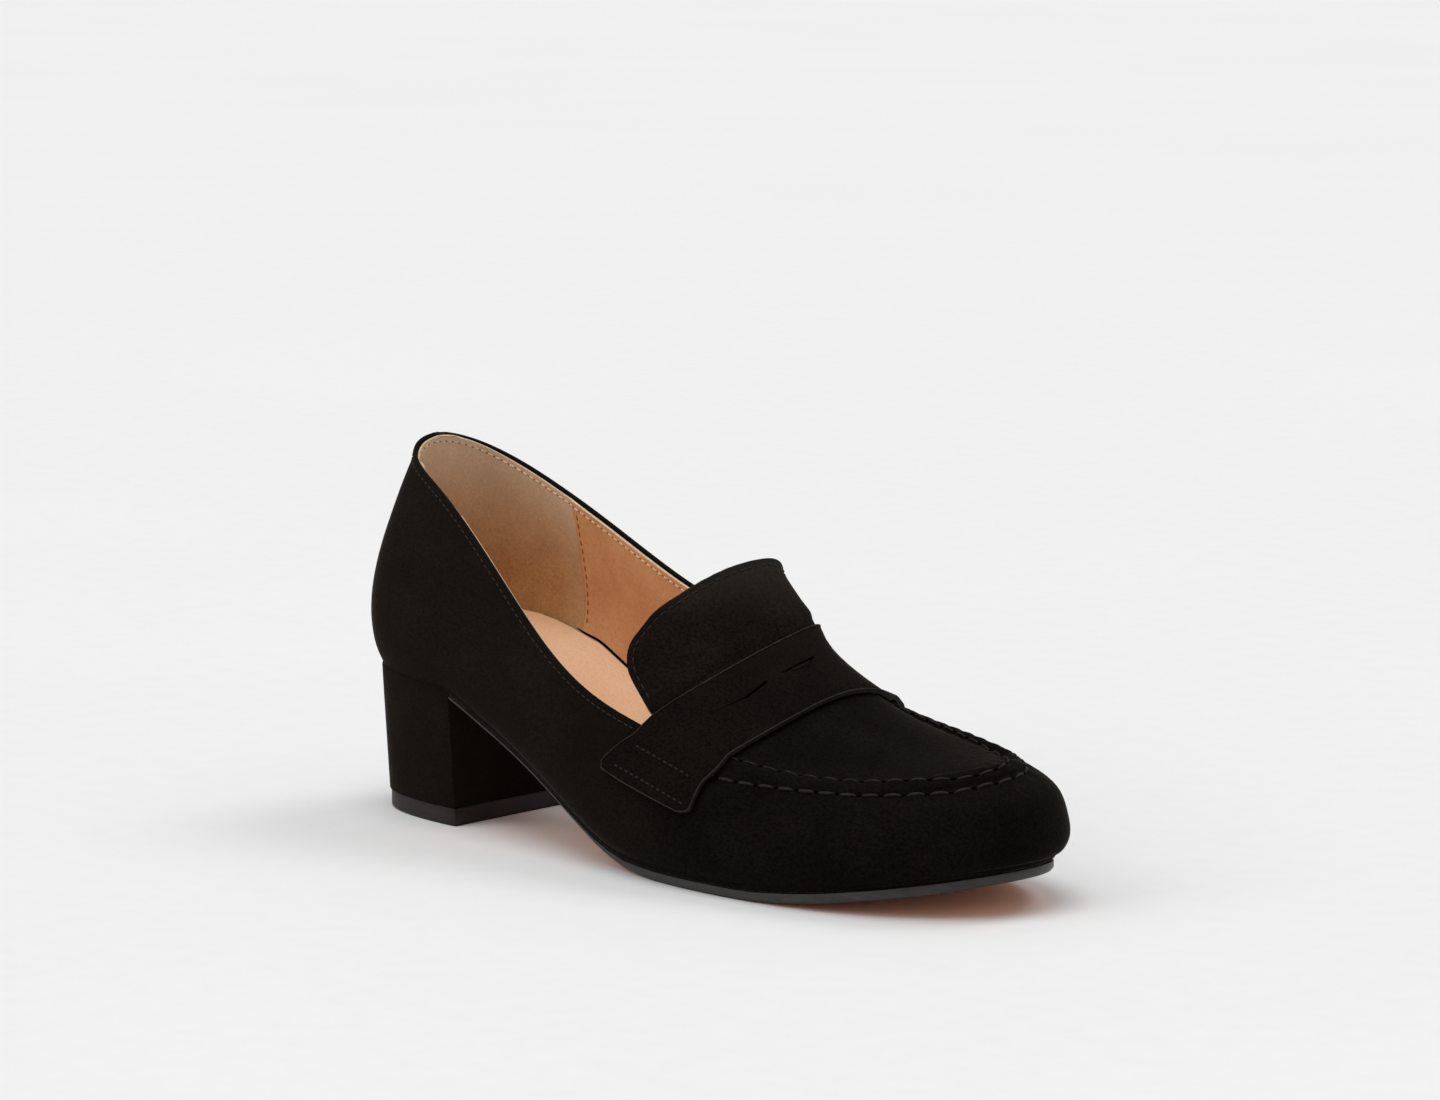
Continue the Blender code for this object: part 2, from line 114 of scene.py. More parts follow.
# Layers of the upper's wall, from the outside in, and of the tongue; each grows behind its sheet or astride it
BEHIND = -1.0
ASTRIDE = 0.0
SUEDE_THICK = 1.1
SUEDE_EDGE_ROUND = 0.4
GRIP_THICK = 0.5
QUARTER_THICK = 0.8
LINING_DROP = 0.5
TONGUE_SUEDE_THICK = 1.0
TONGUE_LINING_THICK = 0.7

# Collar, from its edge downwards, and the seam between the heel grip and the quarter lining
COLLAR_STITCH_DEPTH = 2.0
COLLAR_VALLEY = 0.3
VALLEY_WIDTH = 1.2
COLLAR_FRONT_X = 131.0
LINING_STITCH_DEPTH = 1.5
GRIP_SEAM_X = 44.7
GRIP_OVERLAP = 0.3
GRIP_SEAM_STITCH = 1.3
GRIP_SEAM_HEIGHTS = (85.5, 80.0, 74.0, 68.0, 62.0, 56.0, 51.0)

# Tongue: its stitches, and where its edge is free of the strap
TONGUE_STITCH_DEPTH = 1.7
TONGUE_VALLEY = 0.2
TONGUE_FREE_X = 129.5
TONGUE_FREE_Z = 64.0

# The tongue's corners tuck in under the strap, and its medial half swells to meet the strap's edge
TUCKS = (  # side, place and width where it sets in sideways, top and height where it sets in downwards, move
    (-1, 22.0, 6.0, 54.0, 7.0, (1.0, 1.6, -0.8)),
    (1, 26.0, 3.0, 62.5, 6.0, (6.0, -1.4, -2.0)),
)
SWELL = (0.6, 0.0, 1.1)
SWELL_Z = 62.5
SWELL_HEIGHT = 6.0
SWELL_WIDTH = 8.0

# Back seam: a groove down the middle of the heel, with a small notch in the collar
BACK_SEAM_X = 22.0
BACK_SEAM_FOOT_Z = 42.0
BACK_SEAM_TOP = (2.0, 108.0)
BACK_SEAM_WIDTH = 0.9
BACK_SEAM_DEPTH = 0.45
NOTCH_HEIGHT = 2.0
NOTCH_DEPTH = 0.5

# Rows of heavy stitches along the moccasin ridge, from the lateral to the medial end of the strap
MOC_OUTER_ROW = (  # x, y, z
    (150, -32.9, 34.6), (158.4, -33.4, 31.2), (178.3, -29.7, 30.4), (201.9, -24, 31), (221.5, -14.4, 32.9),
    (228.2, -6, 34.5), (230.9, 2.9, 35.5), (227.9, 13.2, 36.2), (217, 20.7, 37.4), (208, 23.2, 38.3),
    (189, 28.2, 39.4), (166, 31.2, 42.1), (150, 32, 45.6),
)
MOC_INNER_ROW = (  # x, y, z
    (154, -28.6, 38), (161.9, -29, 36), (181.1, -25.2, 34), (199.9, -21.6, 34.3), (220.1, -12.4, 36.3),
    (226.3, -6.2, 37.4), (228, 2, 38.3), (225.4, 8.6, 38.8), (219, 14.4, 38.5), (204, 19.9, 39.6),
    (189.2, 24.2, 41), (175.5, 26.6, 42.6), (160, 27.5, 45.6),
)
MOC_PITCH = 6.4
PUCKER_DEPTH = 0.45
PUCKER_WIDTH = 2.4

# Stitch rows on the strap's tabs, lower and upper, on the lateral and then on the medial side
TAB_ROWS = (  # start, middle, end
    ((124.4, -39.2, 31.1), (138.0, -40.3, 28.0), (153.7, -40.7, 23.7)),
    ((131.0, -36.8, 36.7), (143.0, -37.3, 33.6), (155.6, -36.2, 29.3)),
    ((123.9, 36.7, 38.3), (139.0, 38.3, 33.2), (153.6, 39.1, 29.7)),
    ((129.5, 35.4, 43.6), (142.0, 36.4, 39.6), (156.3, 36.6, 36.0)),
)

# Tracks of stitches: the step between their spots, and how many spots their direction is read over
TRACK_STEP = 0.4
TRACK_REACH = 2

# A stitch: its parts round and along, how blunt its ends are, and the rise of its middle and sink of its ends
# as shares of its height
STITCH_ROUND = 6
STITCH_LONG = 7
STITCH_BLUNT = 4
STITCH_RISE = 0.25
STITCH_SINK = 0.55
STITCHES = {  # pitch, place in the pitch, sideways slant, length, width, height
    "moc_thread_outer": (MOC_PITCH, 0.5, 0.03, 5.3, 0.95, 0.8),
    "moc_thread_inner": (MOC_PITCH, 0.5, 0.04, 4.7, 0.6, 0.5),
    # needle holes of the moccasin rows: dark beads of painted shade between the stitches
    "moc_needle_hole_shade": (MOC_PITCH, 0.0, 0.0, 1.5, 0.7, 0.35),
    "collar_thread": (2.4, 0.5, 0.0, 1.8, 0.46, 0.38),
    "tongue_thread": (2.7, 0.5, 0.0, 2.0, 0.46, 0.4),
    "tab_thread": (2.2, 0.5, 0.0, 1.6, 0.65, 0.5),
    "lining_thread": (2.4, 0.5, 0.0, 1.7, 0.5, 0.4),
    # needle holes of the lining's top row: beads of painted shade
    "lining_needle_hole_shade": (2.4, 0.0, 0.0, 0.7, 0.5, 0.2),
    "grip_seam_thread": (2.6, 0.5, 0.0, 1.7, 0.45, 0.35),
}

# Sock: it settles at the heel, and a bead of painted shade marks the dark gap between its medial edge and the
# lining
SOCK_EDGE = 1.2
SOCK_SETTLE = 1.3
SOCK_SETTLE_X = (38.0, 58.0)
SOCK_GAP_X = (36.0, 84.0)
SOCK_GAP_RISE = 0.4
SOCK_GAP_SIZES = (45.3, 0.8, 0.3)
SOCK_GAP_PARTS = 40

# Rounded edges of the sole, the heel cover with its lifted top rim, and the top piece
SOLE_EDGE = 0.3
HEEL_CORNER = 0.9
HEEL_EDGE = 0.1
HEEL_LIFT = 1.1
LIFT_EDGE = 0.35

# Strap: rounded edge, width and height of its bead of ink and painted highlight, and the flap in its medial
# slit
STRAP_EDGE = 0.4
BEAD_SIZES = (0.5, 0.36)
BEAD_PARTS = 240
FLAP_DEPTH = (0.1, 1.2)
FLAP_THICK = 0.4


def at(x, y, z):
    """Place in the frame, in metres, of millimetres on the last."""
    return (LAST_ZERO + Vector((x, y, z))) * MM


def on_last(point):
    """Millimetres on the last of a place in the frame."""
    return point / MM - LAST_ZERO


def share(value):
    """A value held between 0 and 1."""
    return min(max(value, 0), 1)


# Materials


def colour(code):
    """Linear colour of an sRGB hex value."""
    parts = [int(code[i:i + 2], 16) / 255 for i in (1, 3, 5)]
    return (*(v / 12.92 if v <= 0.04045 else ((v + 0.055) / 1.055) ** 2.4 for v in parts), 1.0)


def add(tree, kind, sockets=(), **settings):
    """Add a node with its settings; sockets pair an input with its value, or with the output linked to it."""
    node = tree.nodes.new("ShaderNode" + kind)
    for name, value in settings.items():
        setattr(node, name, value)
    for name, value in sockets:
        if isinstance(value, bpy.types.NodeSocket):
            tree.links.new(value, node.inputs[name])
        else:
            node.inputs[name].default_value = value
    return node


def grained(name, dark, light, patch, grain, depth, hollow, stretch=(1, 1, 1), **sockets):
    """Material that clouds from a dark to a light shade in patches, with a finer grain raised by depth whose
    hollows are tinted with the shade hollow; patch, grain and depth are millimetres, and stretch draws the
    pattern out along an axis where it is below 1. The node that raises the grain is named grain."""
    made = bpy.data.materials.new(name)
    made.use_nodes = True
    tree = made.node_tree
    shader = tree.nodes["Principled BSDF"]
    for socket, value in sockets.items():
        shader.inputs[socket.replace("_", " ")].default_value = value
    place = add(tree, "TexCoord").outputs["Object"]
    drawn = add(tree, "Mapping", [("Vector", place), ("Scale", stretch)]).outputs["Vector"]
    noises = []
    ramps = []
    for size, shades, ends in ((patch, (dark, light), PATCH_ENDS), (grain, (hollow, "#ffffff"), GRAIN_ENDS)):
        noises.append(add(tree, "TexNoise", [("Vector", drawn), ("Scale", 1 / (size * MM)),
                                             ("Detail", NOISE_DETAIL), ("Roughness", NOISE_ROUGHNESS)]))
        ramps.append(add(tree, "ValToRGB", [("Fac", noises[-1].outputs["Fac"])]))
        for element, shade, end in zip(ramps[-1].color_ramp.elements, shades, ends):
            element.position = end
            element.color = colour(shade)
    clouds, pores = (ramp.outputs["Color"] for ramp in ramps)
    tone = add(tree, "Mix", [(MIX_SHARE, 1.0), (MIX_FIRST, clouds), (MIX_SECOND, pores)],
               data_type="RGBA", blend_type="MULTIPLY")
    tree.links.new(tone.outputs[MIX_RESULT], shader.inputs["Base Color"])
    bump = add(tree, "Bump", [("Height", noises[-1].outputs["Fac"]), ("Distance", depth * MM),
                              ("Strength", 1.0)], name="grain")
    tree.links.new(bump.outputs["Normal"], shader.inputs["Normal"])
    return made


def paint_light_along(made, axis, start, end, shade):
    """Add painted light to a material: a tint added from none of it at one place to all of it at another along
    an axis of the last."""
    tree = made.node_tree
    base = tree.nodes["Principled BSDF"].inputs["Base Color"]
    i = "XYZ".index(axis)
    place = add(tree, "TexCoord").outputs["Object"]
    along = add(tree, "SeparateXYZ", [("Vector", place)]).outputs[i]
    first, last = ((value + LAST_ZERO[i]) * MM for value in (start, end))
    far = add(tree, "MapRange", [("Value", along), ("From Min", first), ("From Max", last)],
              interpolation_type="SMOOTHSTEP").outputs["Result"]
    painted_light = add(tree, "Mix", [(MIX_SHARE, far), (MIX_FIRST, base.links[0].from_socket),
                             (MIX_SECOND, colour(shade))], data_type="RGBA", blend_type="ADD")
    tree.links.new(painted_light.outputs[MIX_RESULT], base)
    return made


def black_suede(name, dark, light):
    """Split calf leather, buffed to a nap: matt and almost black, with brushed patches a little lighter, a
    fibre grain drawn coarser than the real one so that it shows, and a faint bloom where the fibres are seen
    edge on."""
    made = grained(name, dark, light, patch=15.0, grain=0.7, depth=0.16, hollow="#8c8c8c",
                   stretch=(0.65, 1, 1), Roughness=0.95, Specular_IOR_Level=0.05, Sheen_Weight=0.2,
                   Sheen_Roughness=0.2, Sheen_Tint=colour("#c8b6a4"))
    tree = made.node_tree
    place = add(tree, "TexCoord").outputs["Object"]
    tufts = add(tree, "TexNoise", [("Vector", place), ("Scale", 1 / (TUFT_SIZE * MM)),
                                   ("Detail", TUFT_DETAIL)])
    swell = add(tree, "Bump", [("Height", tufts.outputs["Fac"]), ("Distance", TUFT_DEPTH * MM),
                               ("Strength", 1.0)])
    tree.links.new(swell.outputs["Normal"], tree.nodes["grain"].inputs["Normal"])
    return made


def upper_suede():
    """Suede of the shell and the heel's cover: darkest at the toe, with painted light that makes it warmer and
    paler towards the heel.
    """
    return paint_light_along(black_suede("black_suede", "#0e0b08", "#15120d"), "X", 165, 75, "#0e0905")


def strap_suede():
    """Suede of the strap: a touch lighter than the shell, and paler still, as painted light, where it rises
    over the instep.
    """
    return paint_light_along(black_suede("strap_black_suede", "#100c08", "#17130e"), "Z", 50, 66, "#110c09")


def tongue_suede():
    """Suede of the tongue: the lightest of the three, and paler still towards its top as painted sheen."""
    return paint_light_along(black_suede("tongue_black_suede_painted_sheen", "#18130f", "#221b16"), "Z", 66, 83, "#251f1a")


def cut_edge():
    """The raw edge of the suede, cut clean and inked: denser than the nap and a shade greyer, and drawn paler
    as a painted highlight where the edge catches the light.
    """
    return grained("inked_cut_edge_painted_highlight", "#241f1a", "#302a24", patch=3.0, grain=0.5, depth=0.06, hollow="#c0c0c0",
                   Roughness=0.7, Specular_IOR_Level=0.2)


def grey_thread():
    """Finer polyester thread of the collar and tongue: charcoal, with a cool gloss."""
    return grained("charcoal_thread", "#1d1d20", "#2a2a2d", patch=1.4, grain=0.35, depth=0.06,
                   hollow="#b4b4b4", Roughness=0.55, Specular_IOR_Level=0.2)


def black_thread():
    """Bonded polyester thread of the moccasin seam and tabs: black, with a dull gloss that lifts it off the
    nap."""
    return grained("black_thread", "#1d1815", "#2b2521", patch=1.4, grain=0.35, depth=0.08, hollow="#b4b4b4",
                   Roughness=0.6, Specular_IOR_Level=0.15)


def needle_hole_shade():
    """Painted shade of a punched hole or an open gap: near black, standing for fibre in deep shade."""
    return grained("needle_hole_painted_shade", "#040302", "#070605", patch=1.0, grain=0.4, depth=0.05,
                   hollow="#a0a0a0", Roughness=1.0, Specular_IOR_Level=0.0)


def cream_thread():
    """Polyester thread of the lining's top edge: cream, so that it stands out from the tan leather."""
    return grained("cream_thread", "#efd3ac", "#fbe9cc", patch=1.4, grain=0.4, depth=0.05, hollow="#d8d0c8",
                   Roughness=0.55, Specular_IOR_Level=0.35)


def rust_thread():
    """The darker orange brown thread of the heel grip's seam."""
    return grained("rust_thread", "#9c5a26", "#bd7638", patch=1.4, grain=0.4, depth=0.05, hollow="#c8c0b8",
                   Roughness=0.55, Specular_IOR_Level=0.3)


def tan_lining():
    """Pigmented lining leather: smooth tan with faint pores and cloudy shade."""
    return grained("tan_lining_leather", "#d8a070", "#e4b080", patch=14.0, grain=0.9, depth=0.03,
                   hollow="#f0ebe6", Roughness=0.58, Specular_IOR_Level=0.35)


def cream_edge():
    """The cut edge of the lining leather: undyed fibre, pale and matt."""
    return grained("lining_cut_edge", "#e2c9a8", "#eed9bc", patch=3.0, grain=0.5, depth=0.05,
                   hollow="#d8d0c6", Roughness=0.85, Specular_IOR_Level=0.2)


def beige_grip():
    """Brushed microfibre at the heel, which holds the foot: greyer than the leather, matt and slightly
    woolly. Painted light makes it paler and greyer towards the collar and the seam, and leaves its lower rear
    warmer and darker as painted shade with a painted warm reflection of the lining."""
    made = grained("beige_microfibre", "#bf915f", "#cc9f6d", patch=10.0, grain=0.8, depth=0.06,
                   hollow="#e8e2dc", Roughness=0.9, Specular_IOR_Level=0.15, Sheen_Weight=0.12,
                   Sheen_Roughness=0.5, Sheen_Tint=colour("#e8d8c4"))
    return paint_light_along(paint_light_along(made, "Z", 60, 102, "#6c8284"), "X", 32, 46, "#3c4a4c")


def peach_sock():
    """Soft sock leather over foam: peach, with a satin surface and very faint pores."""
    return grained("peach_sock_leather", "#fccfa6", "#ffd8b2", patch=18.0, grain=0.8, depth=0.03,
                   hollow="#f4f0ec", Roughness=0.5, Specular_IOR_Level=0.4)


def grey_sole_edge():
    """Moulded sole rubber with a buffed edge: charcoal and slightly satin, with fine scratches along it."""
    return grained("charcoal_sole_edge", "#2c2a29", "#393735", patch=6.0, grain=0.9, depth=0.05,
                   hollow="#c4c4c4", stretch=(0.25, 0.25, 2), Roughness=0.48, Specular_IOR_Level=0.4)


def tan_sole():
    """Resin sole with a leather print: warm tan underneath, with a fine even pebble."""
    return grained("tan_resin_sole", "#cf7410", "#e0861e", patch=12.0, grain=1.2, depth=0.08,
                   hollow="#d2cac2", Roughness=0.5, Specular_IOR_Level=0.4)


def brown_black_lift():
    """Dense top-piece rubber: brown black and dull, with a ground edge."""
    return grained("top_piece_rubber", "#180c06", "#24140c", patch=5.0, grain=0.8, depth=0.06,
                   hollow="#b8b8b8", stretch=(0.4, 0.4, 2), Roughness=0.55, Specular_IOR_Level=0.35)


def studio_floor():
    """Matt painted board: even pale grey, with the faintest cloud."""
    return grained("studio_floor", "#f0f0f0", "#f2f2f2", patch=400.0, grain=9.0, depth=0.02, hollow="#fdfdfd",
                   Roughness=0.7, Specular_IOR_Level=0.15)


# Mesh tools


def merged_copy(node):
    """Mesh of a solid, with its loose triangles merged and joined to quads."""
    bm = bmesh.new()
    bm.from_mesh(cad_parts[node].data)
    bmesh.ops.remove_doubles(bm, verts=bm.verts, dist=MERGE * MM)
    bmesh.ops.join_triangles(bm, faces=bm.faces, angle_face_threshold=JOIN_ANGLE,
                             angle_shape_threshold=JOIN_ANGLE)
    bm.normal_update()
    return bm


def skin_at(bm, sight):
    """Faces of the smooth skin that a line of sight meets first, up to the sharp edges round it."""
    bm.faces.index_update()
    bm.faces.ensure_lookup_table()
    start, target = (at(*place) for place in sight)
    first = BVHTree.FromBMesh(bm).ray_cast(start, (target - start).normalized())[2]
    skin = set()
    waiting = [bm.faces[first]]
    while waiting:
        face = waiting.pop()
        if face not in skin:
            skin.add(face)
            for edge in face.edges:
                if edge.calc_face_angle(math.pi) < SHARP:
                    waiting.extend(edge.link_faces)
    return skin


def skin_of(node, sight):
    """Open sheet: the skin of a solid that a line of sight meets first."""
    bm = merged_copy(node)
    skin = skin_at(bm, sight)
    bmesh.ops.delete(bm, geom=[face for face in bm.faces if face not in skin], context="FACES")
    bm.normal_update()
    return bm


def rims_of(skin):
    """Closed lines of vertices round a skin, each in order and from its rearmost edge."""
    loose = {edge for face in skin for edge in face.edges if sum(f in skin for f in edge.link_faces) == 1}
    lines = []
    while loose:
        rearmost = min(loose, key=lambda edge: (*edge.verts[0].co, *edge.verts[1].co))
        loose.remove(rearmost)
        line = list(rearmost.verts)
        while True:
            onward = next((edge for edge in line[-1].link_edges if edge in loose), None)
            if onward is None:
                break
            loose.remove(onward)
            line.append(onward.other_vert(line[-1]))
        lines.append(line[:-1])
    return lines


def add_border(bm, depth):
    """Add a border of depth millimetres inside the edges of a sheet; returns the lines of its inner edge."""
    inner = list(bm.faces)
    bmesh.ops.inset_region(bm, faces=inner, thickness=depth * MM, use_boundary=True, use_even_offset=True)
    bm.normal_update()
    return rims_of(set(inner))


def highest(lines):
    """The line of vertices that reaches highest."""
    return max(lines, key=lambda line: max(vertex.co.z for vertex in line))


def stretch_of(line, keep):
    """The stretch of a closed line of points that passes the test."""
    start = next(i for i, point in enumerate(line) if keep(point) and not keep(line[i - 1]))
    turned = line[start:] + line[:start]
    end = next(i for i, point in enumerate(turned) if not keep(point))
    return turned[:end]


def bevel(bm, edges, width):
    """Round some edges; returns the new faces."""
    return bmesh.ops.bevel(bm, geom=edges, offset=width * MM, offset_type="OFFSET", segments=2, profile=0.5,
                           affect="EDGES", material=-1, clamp_overlap=True)["faces"]


def round_edges(bm, width, chosen=lambda edge: True):
    """Round the sharp edges that are chosen; returns the new faces."""
    sharp = [edge for edge in bm.edges if edge.is_manifold and edge.calc_face_angle() > SHARP]
    return bevel(bm, [edge for edge in sharp if chosen(edge)], width)


def upright(edge):
    """Whether an edge runs up rather than along."""
    run = edge.verts[1].co - edge.verts[0].co
    return abs(run.z) > UPRIGHT * run.length


def make_piece(name, bm, *materials):
    """Object from a bmesh in the frame's metres, shaded smooth, riding on the shoe."""
    mesh = bpy.data.meshes.new(name)
    bm.to_mesh(mesh)
    bm.free()
    if "custom_normal" in mesh.attributes:
        mesh.attributes.remove(mesh.attributes["custom_normal"])
    for material in materials:
        mesh.materials.append(material)
    mesh.shade_smooth()
    piece = bpy.data.objects.new(name, mesh)
    bpy.context.scene.collection.objects.link(piece)
    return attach(piece, "root")


def modified(piece, kind, **settings):
    """Mesh of the piece with one modifier applied."""
    modifier = piece.modifiers.new(kind.lower(), kind)
    for name, value in settings.items():
        setattr(modifier, name, value)
    graph = bpy.context.evaluated_depsgraph_get()
    mesh = bpy.data.meshes.new_from_object(piece.evaluated_get(graph))
    piece.modifiers.clear()
    return mesh


def refine(piece):
    """Smooth the piece's cage into a fine sheet that still passes through the cage's own points."""
    goals = [vertex.co.copy() for vertex in piece.data.vertices]
    for _ in range(FITTINGS):
        sheet = modified(piece, "SUBSURF", levels=1, render_levels=1)
        for vertex, goal, smoothed in zip(piece.data.vertices, goals, sheet.vertices):
            vertex.co += goal - smoothed.co
        piece.data.update()
    piece.data = modified(piece, "SUBSURF", levels=FINENESS, render_levels=FINENESS)


def thicken(piece, thickness, offset, rim=0):
    """Give a sheet its thickness, behind or astride it; rim is the number of its edge's material."""
    piece.data = modified(piece, "SOLIDIFY", thickness=thickness * MM, offset=offset,
                          use_quality_normals=True, material_offset_rim=rim)


def round_rim(piece, width):
    """Round the edges of a thickened sheet, but for those that face the floor."""
    bm = bmesh.new()
    bm.from_mesh(piece.data)
    bm.normal_update()
    rim = [edge for edge in bm.edges if edge.is_manifold and edge.calc_face_angle() > RIM_ANGLE]
    bevel(bm, [edge for edge in rim if min(face.normal.z for face in edge.link_faces) > FLOORWARD], width)
    bm.to_mesh(piece.data)
    bm.free()
    piece.data.shade_smooth()


def with_normals(piece):
    """The vertices of a piece, each with its normal before any of them moves."""
    return list(zip(piece.data.vertices, [vertex.normal.copy() for vertex in piece.data.vertices]))


def surface_of(*pieces):
    """Search tree over the faces of the pieces' meshes."""
    corners = []
    faces = []
    for piece in pieces:
        base = len(corners)
        corners += [vertex.co.copy() for vertex in piece.data.vertices]
        faces += [[base + i for i in face.vertices] for face in piece.data.polygons]
    return BVHTree.FromPolygons(corners, faces)


# Stitching


def smooth_line(points):
    """Even short steps along a smooth curve through the points."""
    padded = [2 * points[0] - points[1], *points, 2 * points[-1] - points[-2]]
    line = []
    for before, start, end, after in zip(padded, padded[1:], padded[2:], padded[3:]):
        slope = end - before
        bend = 2 * before - 5 * start + 4 * end - after
        twist = 3 * start - before - 3 * end + after
        count = max(1, round((end - start).length / (TRACK_STEP * MM)))
        for t in (i / count for i in range(count)):
            line.append(start + (slope + bend * t + twist * t * t) * t / 2)
    return [*line, points[-1]]


class Track:
    """A smooth line laid on a surface, read by the length along it."""

    def __init__(self, points, surface):
        found = [surface.find_nearest(point) for point in smooth_line(points)]
        self.spots = [hit[0] for hit in found]
        self.normals = [hit[1] for hit in found]
        self.places = [0.0]
        for start, end in zip(self.spots, self.spots[1:]):
            self.places.append(self.places[-1] + (end - start).length)
        self.length = self.places[-1]

    def read(self, place):
        """Spot, normal and running direction at a place along the track."""
        i = min(max(bisect.bisect(self.places, place) - 1, 0), len(self.places) - 2)
        t = (place - self.places[i]) / max(self.places[i + 1] - self.places[i], TINY * MM)
        low = max(i - TRACK_REACH, 0)
        high = min(i + 1 + TRACK_REACH, len(self.spots) - 1)
        run = (self.spots[high] - self.spots[low]).normalized()
        normal = self.normals[i].lerp(self.normals[i + 1], share(t)).normalized()
        return self.spots[i].lerp(self.spots[i + 1], t), normal, run


def track_on(surface, row):
    """Track through a row of places on the last."""
    return Track([at(*spot) for spot in row], surface)


def spacing(track, pitch):
    """How many whole stitches fit on a track, and the length left at each end."""
    count = int(track.length / (pitch * MM))
    return count, (track.length - count * pitch * MM) / 2


def add_stitch(bm, track, middle, sizes, slant=0.0, parts=STITCH_LONG):
    """One stitch of a length, width and height: a sphere drawn out along the track to a rod whose ends sink
    in."""
    length, width, height = (size * MM for size in sizes)
    for vertex in bmesh.ops.create_uvsphere(bm, u_segments=STITCH_ROUND, v_segments=parts, radius=1)["verts"]:
        side, up, along = vertex.co
        thin = math.hypot(side, up)
        end = along ** STITCH_BLUNT
        fat = math.sqrt(max(0.0, 1 - end)) / thin if thin > TINY else 0.0
        spot, normal, run = track.read(middle + along * length / 2)
        across = normal.cross(run)
        sideways = side * fat * width / 2 + slant * along * length / 2
        lift = up * fat * height / 2 + height * (STITCH_RISE - STITCH_SINK * end)
        vertex.co = spot + across * sideways + normal * lift


def stitch_rows(name, tracks, material):
    """Joined mesh of the stitches along some tracks, spaced and sized as the table of stitches says."""
    pitch, shift, slant, *sizes = STITCHES[name]
    bm = bmesh.new()
    for track in tracks:
        count, spare = spacing(track, pitch)
        for i in range(count):
            add_stitch(bm, track, spare + (i + shift) * pitch * MM, sizes, slant)
    return make_piece(name, bm, material)


def long_bead(name, track, material, sizes, parts):
    """One bead of a length, width and height at the middle of a track, drawn out as a stitch is."""
    bm = bmesh.new()
    add_stitch(bm, track, track.length / 2, sizes, parts=parts)
    return make_piece(name, bm, material)


# Pieces


def press(piece, track, depth, width, pitch=None):
    """Draw the leather in along a row of stitches, all along it or at the needle holes of a heavy thread."""
    places = KDTree(len(track.spots))
    for i, spot in enumerate(track.spots):
        places.insert(spot, i)
    places.balance()
    spare = spacing(track, pitch)[1] if pitch else 0.0
    for vertex, normal in with_normals(piece):
        _, i, distance = places.find(vertex.co)
        near = math.exp(-(distance / (width * MM)) ** 2)
        if pitch:
            near *= 0.5 + 0.5 * math.cos(2 * math.pi * (track.places[i] - spare) / (pitch * MM))
        vertex.co -= normal * near * depth * MM


def press_back_seam(piece):
    """Groove down the back of the heel, and the notch where its two edges meet at the collar."""
    top_y, top_z = BACK_SEAM_TOP
    for vertex, normal in with_normals(piece):
        spot = on_last(vertex.co)
        if spot.x < BACK_SEAM_X:
            height = (spot.z - BACK_SEAM_FOOT_Z) / (top_z - BACK_SEAM_FOOT_Z)
            near = math.exp(-((spot.y - top_y * height) / BACK_SEAM_WIDTH) ** 2)
            notch = max(0.0, 1 - (top_z - spot.z) / NOTCH_HEIGHT)
            vertex.co -= normal * near * BACK_SEAM_DEPTH * MM
            vertex.co.z -= near * notch * NOTCH_DEPTH * MM


def behind_strap(point):
    """Whether a point of the collar lies behind the strap's tabs."""
    return on_last(point).x < COLLAR_FRONT_X


def make_upper(suede):
    """Suede shell with a folded collar, a valley where the collar is stitched, and the drawn-in moccasin
    seam; returns it and the line of the collar's stitches."""
    bm = skin_of("upper", UPPER_OUTSIDE)
    crease = bm.edges.layers.float.new("crease_edge")
    for edge in bm.edges:
        if edge.is_manifold and edge.calc_face_angle_signed() < -HOLLOW_ANGLE:
            edge[crease] = SEAM_CREASE
    lines = add_border(bm, COLLAR_STITCH_DEPTH)
    collar = stretch_of([vertex.co.copy() for vertex in highest(lines)], behind_strap)
    pressed = {vertex for line in lines for vertex in line}
    add_border(bm, VALLEY_WIDTH)
    for vertex in pressed:
        vertex.co -= vertex.normal * COLLAR_VALLEY * MM
    piece = make_piece("suede_upper", bm, suede)
    refine(piece)
    sheet = surface_of(piece)
    for track in [track_on(sheet, row) for row in (MOC_OUTER_ROW, MOC_INNER_ROW)]:
        press(piece, track, PUCKER_DEPTH, PUCKER_WIDTH, MOC_PITCH)
    press_back_seam(piece)
    thicken(piece, SUEDE_THICK, BEHIND)
    round_rim(piece, SUEDE_EDGE_ROUND)
    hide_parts("upper")
    return piece, collar


def lining_sheet():
    """Sheet of the upper's inside, cut a little below the collar, and the line of stitches in its edge."""
    bm = skin_of("upper", UPPER_INSIDE)
    drop = bmesh.ops.inset_region(bm, faces=list(bm.faces), thickness=LINING_DROP * MM, use_boundary=True,
                                  use_even_offset=True)["faces"]
    bmesh.ops.delete(bm, geom=drop, context="FACES")
    bm.normal_update()
    edge = highest(add_border(bm, LINING_STITCH_DEPTH))
    return bm, [vertex.co + vertex.normal * QUARTER_THICK * MM for vertex in edge]


def make_lining(grip, leather, edge):
    """Microfibre heel grip, and the leather quarter lining whose rear edge lies on it; returns them and the
    line of the stitches below their top edge."""
    pieces = []
    for name, material, thick, offset in (("heel_grip", grip, GRIP_THICK, BEHIND),
                                          ("quarter_lining", leather, QUARTER_THICK, ASTRIDE)):
        bm, row = lining_sheet()
        rear = name == "heel_grip"
        cut_x = GRIP_SEAM_X + (GRIP_OVERLAP if rear else 0)
        bmesh.ops.bisect_plane(bm, geom=[*bm.verts, *bm.edges, *bm.faces], plane_co=at(cut_x, 0, 0),
                               plane_no=(1, 0, 0), clear_inner=not rear, clear_outer=rear)
        piece = make_piece(name, bm, material, edge)
        refine(piece)
        thicken(piece, thick, offset, rim=1)
        pieces.append(piece)
    return pieces, stretch_of(row, behind_strap)


